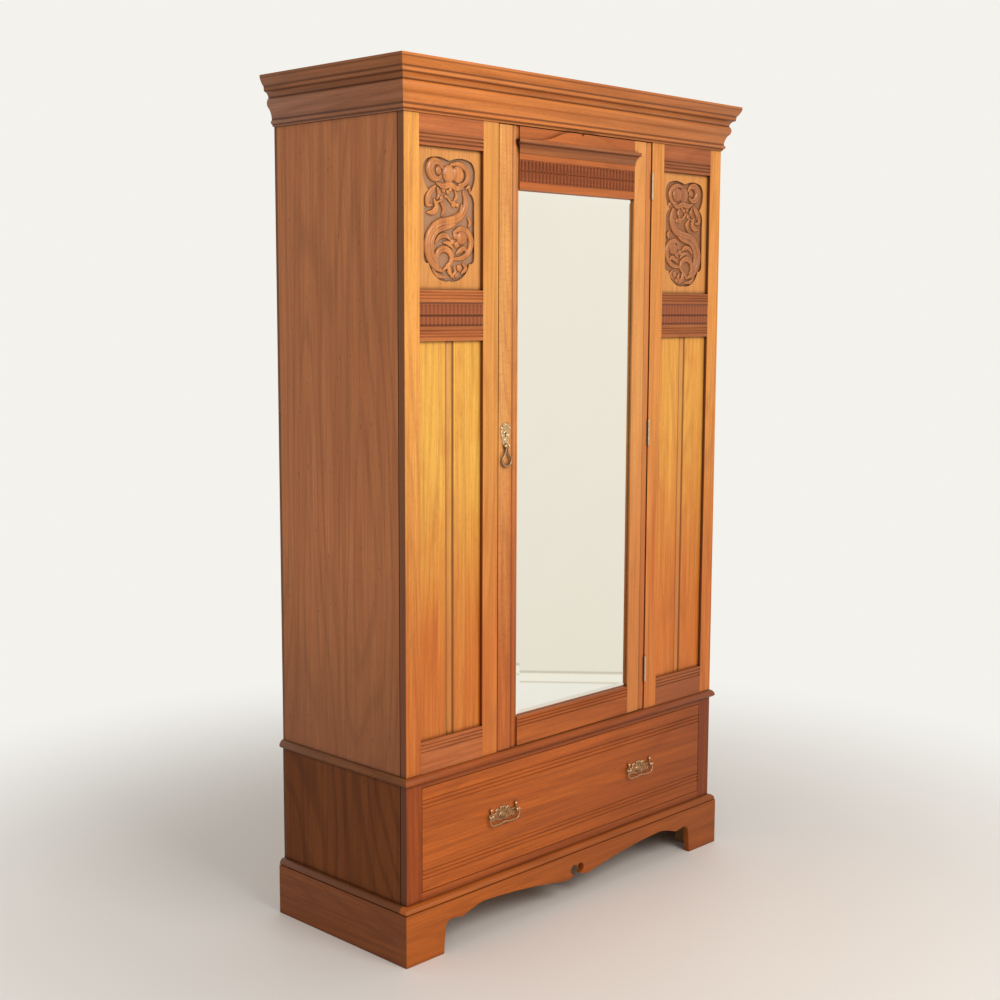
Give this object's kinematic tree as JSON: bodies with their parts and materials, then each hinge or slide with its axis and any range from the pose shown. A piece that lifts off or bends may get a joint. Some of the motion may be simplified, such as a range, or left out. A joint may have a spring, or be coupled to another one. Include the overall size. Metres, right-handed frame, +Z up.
{
  "type": "wardrobe with mirror door and drawer",
  "caption": "Free-standing wooden wardrobe: a hinged mirror door between fixed panelled bays, moulded cornice, and a full-width drawer above a shaped plinth.",
  "frame": {"origin": "on the floor, under the middle of the overall bounding box", "axes": "+X to the right of someone facing the front, +Y to the back, +Z up; the front faces -Y"},
  "size_m": [1.235, 0.4954, 2.05],
  "materials": {
    "walnut": "satin varnish",
    "secondary_wood": "unpolished",
    "brass": "aged",
    "steel": "worn",
    "mirror": "bevelled"
  },
  "bodies": {
    "case": {"crown_front": "walnut", "crown_returns": "walnut", "frieze_front": "walnut", "frieze_returns": "walnut", "cornice_back_rail": "secondary_wood", "cornice_blocks": "secondary_wood", "side_left": "walnut", "side_right": "walnut", "case_top": "secondary_wood", "case_floor": "secondary_wood", "back_boards": "secondary_wood", "outer_stiles": "walnut", "inner_stile_left": "walnut", "inner_stile_right": "walnut", "top_rails": "walnut", "bottom_rails": "walnut", "fluted_rails": "walnut", "carved_panel_left": "walnut", "carved_panel_right": "walnut", "lower_boards": "walnut", "hanging_rail": "secondary_wood", "rail_sockets": "secondary_wood", "hinge_case_leaves": "steel", "strike_plate": "steel", "base_top": "walnut", "waist_front": "walnut", "waist_returns": "walnut", "base_sides": "walnut", "base_stiles": "walnut", "drawer_rail_upper": "walnut", "drawer_rail_lower": "walnut", "base_back": "secondary_wood", "drawer_runners": "secondary_wood", "drawer_guides": "secondary_wood", "plinth_front": "walnut", "plinth_sides": "walnut", "plinth_caps": "walnut", "glue_blocks": "secondary_wood"},
    "door": {"door_closing_stile": "walnut", "door_hinge_stile": "walnut", "door_top_rail": "walnut", "door_bottom_rail": "walnut", "door_frieze": "walnut", "door_ledge": "walnut", "door_tablet": "walnut", "mirror_plate": "mirror", "mirror_backboard": "secondary_wood", "hinge_door_leaves": "steel", "lock_case": "steel", "escutcheon": "brass"},
    "lock_bolt": {"lock_bolt": "steel"},
    "drop_pull": {"drop_pull": "brass"},
    "drawer": {"drawer_front": "walnut", "drawer_sides": "secondary_wood", "drawer_back": "secondary_wood", "drawer_bottom": "secondary_wood", "handle_plates": "brass"},
    "bail_left": {"bail_left": "brass"},
    "bail_right": {"bail_right": "brass"}
  },
  "joints": [
    {"name": "door_hinge", "type": "hinge", "parent": "case", "child": "door", "pos_m": [0.2815, -0.21105, 1.1895], "axis": [0, 0, 1], "range_deg": [0, 110]},
    {"name": "lock_bolt_slide", "type": "slide", "parent": "door", "child": "lock_bolt", "axis": [-1, 0, 0], "range_m": [0, 0.009]},
    {"name": "drop_pull_swing", "type": "hinge", "parent": "door", "child": "drop_pull", "pos_m": [-0.2575, -0.21425, 1.188], "axis": [-1, 0, 0], "range_deg": [0, 100]},
    {"name": "drawer_slide", "type": "slide", "parent": "case", "child": "drawer", "axis": [0, -1, 0], "range_m": [0, 0.33]},
    {"name": "bail_left_swing", "type": "hinge", "parent": "drawer", "child": "bail_left", "pos_m": [-0.262, -0.21725, 0.29], "axis": [-1, 0, 0], "range_deg": [0, 95]},
    {"name": "bail_right_swing", "type": "hinge", "parent": "drawer", "child": "bail_right", "pos_m": [0.262, -0.21725, 0.29], "axis": [-1, 0, 0], "range_deg": [0, 95]}
  ]
}
